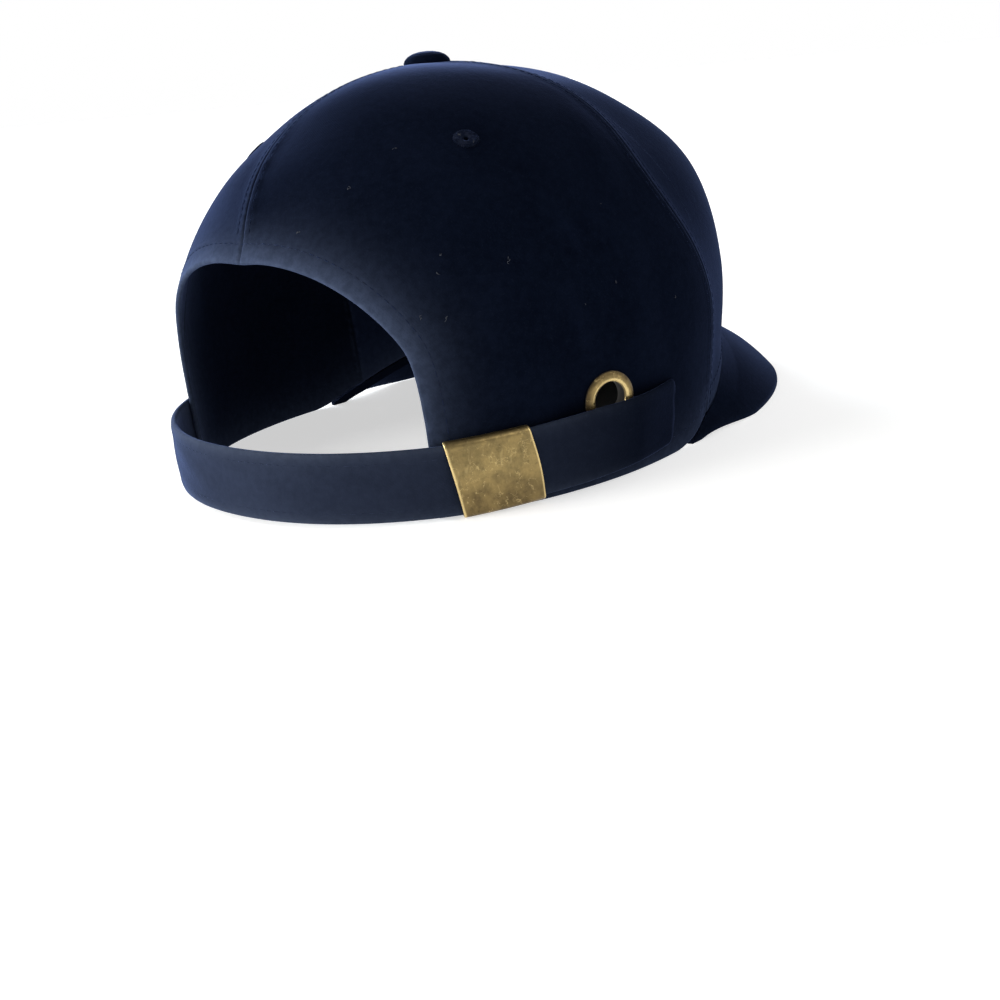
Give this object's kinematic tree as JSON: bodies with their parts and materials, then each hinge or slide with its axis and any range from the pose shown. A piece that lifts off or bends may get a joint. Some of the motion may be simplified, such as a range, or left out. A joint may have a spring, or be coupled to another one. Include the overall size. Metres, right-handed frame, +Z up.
{
  "type": "baseball cap",
  "caption": "Navy cloth cap with a curved peak, an open rear arch, a cloth strap through a brass sleeve clasp, a brass grommet and a covered top button.",
  "frame": {"origin": "on the surface that the cap rests on, under the middle of its bounding box", "axes": "+Z up out of the crown, -Y forwards over the peak, -X to the wearer's right"},
  "size_m": [0.1732, 0.252, 0.127],
  "materials": {
    "navy_cloth": "soft brushed cotton with a short nap",
    "antique_brass": "worn antique brass with a mottled patina"
  },
  "bodies": {
    "root": {"crown_front": "navy_cloth", "crown_right": "navy_cloth", "crown_left": "navy_cloth", "peak": "navy_cloth", "top_button": "navy_cloth", "strap": "navy_cloth", "clasp": "antique_brass", "grommet": "antique_brass"}
  },
  "joints": []
}
